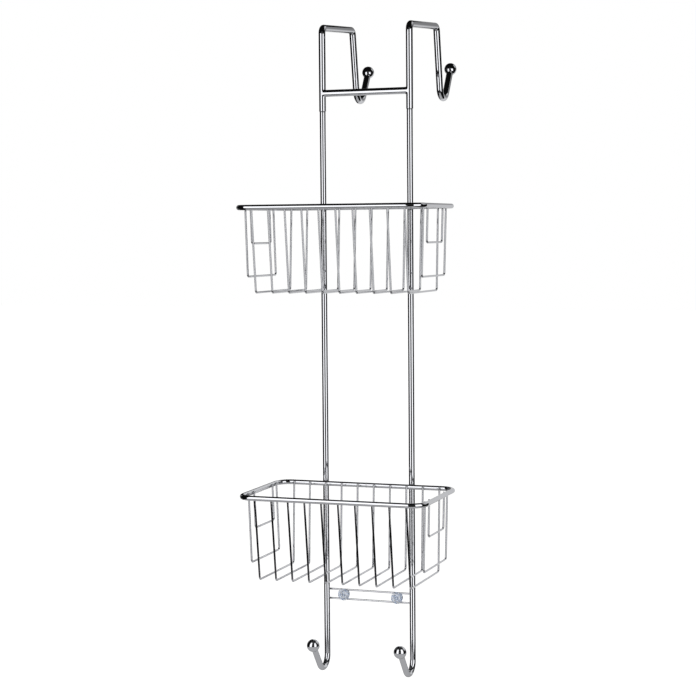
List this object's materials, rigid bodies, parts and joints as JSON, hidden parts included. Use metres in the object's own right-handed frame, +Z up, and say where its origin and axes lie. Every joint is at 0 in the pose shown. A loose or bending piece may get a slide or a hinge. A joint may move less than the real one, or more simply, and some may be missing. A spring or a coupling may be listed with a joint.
{
  "type": "over-door shower caddy",
  "caption": "Over-door shower caddy in chromed wire: a hanger that slips over two long rods, wire baskets, ball-tipped hooks and suction cups on a pair of rails.",
  "frame": {"origin": "midway between the two door hooks, where the door's front face meets its top edge", "axes": "+X to the right for someone facing the caddy, +Y through the door towards its back, +Z up"},
  "size_m": [0.2256, 0.3013, 0.7716],
  "materials": {
    "chrome_wire": "bright chrome plate on steel wire",
    "cup_vinyl": "smooth translucent pale blue-grey soft vinyl"
  },
  "bodies": {
    "hanger": {"left_door_hook": "chrome_wire", "right_door_hook": "chrome_wire", "hanger_crossbar": "chrome_wire", "left_rear_ball_tip": "chrome_wire", "right_rear_ball_tip": "chrome_wire"},
    "frame": {"left_rod": "chrome_wire", "right_rod": "chrome_wire", "left_front_ball_tip": "chrome_wire", "right_front_ball_tip": "chrome_wire", "upper_cup_rail": "chrome_wire", "lower_cup_rail": "chrome_wire", "upper_basket_rim": "chrome_wire", "upper_basket_wire_01": "chrome_wire", "upper_basket_wire_02": "chrome_wire", "upper_basket_wire_03": "chrome_wire", "upper_basket_wire_04": "chrome_wire", "upper_basket_wire_05": "chrome_wire", "upper_basket_wire_06": "chrome_wire", "upper_basket_wire_07": "chrome_wire", "upper_basket_wire_08": "chrome_wire", "upper_basket_wire_09": "chrome_wire", "upper_basket_wire_10": "chrome_wire", "upper_basket_left_long_loop": "chrome_wire", "upper_basket_left_short_loop": "chrome_wire", "upper_basket_right_long_loop": "chrome_wire", "upper_basket_right_short_loop": "chrome_wire", "lower_basket_rim": "chrome_wire", "lower_basket_wire_01": "chrome_wire", "lower_basket_wire_02": "chrome_wire", "lower_basket_wire_03": "chrome_wire", "lower_basket_wire_04": "chrome_wire", "lower_basket_wire_05": "chrome_wire", "lower_basket_wire_06": "chrome_wire", "lower_basket_wire_07": "chrome_wire", "lower_basket_wire_08": "chrome_wire", "lower_basket_wire_09": "chrome_wire", "lower_basket_wire_10": "chrome_wire", "lower_basket_left_long_loop": "chrome_wire", "lower_basket_left_short_loop": "chrome_wire", "lower_basket_right_long_loop": "chrome_wire", "lower_basket_right_short_loop": "chrome_wire"},
    "left_cup": {"left_suction_cup": "cup_vinyl"},
    "right_cup": {"right_suction_cup": "cup_vinyl"}
  },
  "joints": [
    {"name": "frame_pull_off", "type": "slide", "parent": "hanger", "child": "frame", "axis": [0, 0, -1], "range_m": [0, 0.03]},
    {"name": "left_cup_slide", "type": "slide", "parent": "frame", "child": "left_cup", "axis": [1, 0, 0], "range_m": [-0.008, 0.024]},
    {"name": "right_cup_slide", "type": "slide", "parent": "frame", "child": "right_cup", "axis": [1, 0, 0], "range_m": [-0.024, 0.008]}
  ]
}
